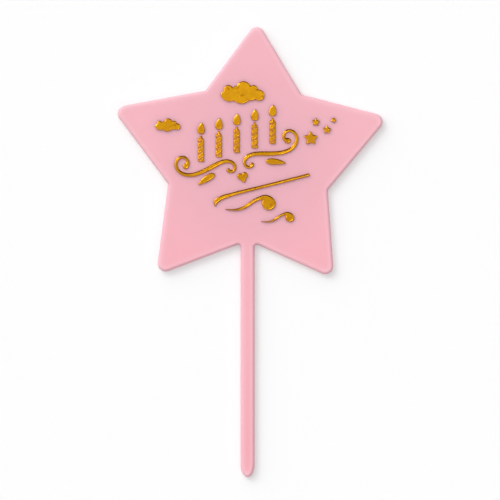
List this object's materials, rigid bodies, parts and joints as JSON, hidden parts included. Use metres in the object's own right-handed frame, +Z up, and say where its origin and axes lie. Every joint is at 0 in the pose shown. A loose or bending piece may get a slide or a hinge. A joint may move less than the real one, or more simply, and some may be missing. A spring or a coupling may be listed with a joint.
{
  "type": "cake topper",
  "caption": "Star-shaped cake topper on a flat stick with a rounded point, pink plastic with raised gold clouds, stars, candles, scrolls and curls on its front.",
  "frame": {"origin": "centre of the stick's tip, in the middle of its thickness", "axes": "+Z up the stick towards the star, +X to the right, the decorated front faces -Y"},
  "size_m": [0.1008, 0.0038, 0.1712],
  "materials": {
    "pink_plastic": "satin moulded pink plastic",
    "gold_relief": "bright gold metallised relief"
  },
  "bodies": {
    "root": {"star_plate": "pink_plastic", "large_cloud": "gold_relief", "small_cloud": "gold_relief", "large_star": "gold_relief", "upper_star": "gold_relief", "lower_star": "gold_relief", "tiny_star": "gold_relief", "candle_1": "gold_relief", "candle_2": "gold_relief", "candle_3": "gold_relief", "candle_4": "gold_relief", "candle_5": "gold_relief", "flame_1": "gold_relief", "flame_2": "gold_relief", "flame_3": "gold_relief", "flame_4": "gold_relief", "flame_5": "gold_relief", "left_scroll": "gold_relief", "right_scroll": "gold_relief", "left_leaf": "gold_relief", "right_leaf": "gold_relief", "heart": "gold_relief", "underline": "gold_relief", "large_curl": "gold_relief", "small_curl": "gold_relief"}
  },
  "joints": []
}
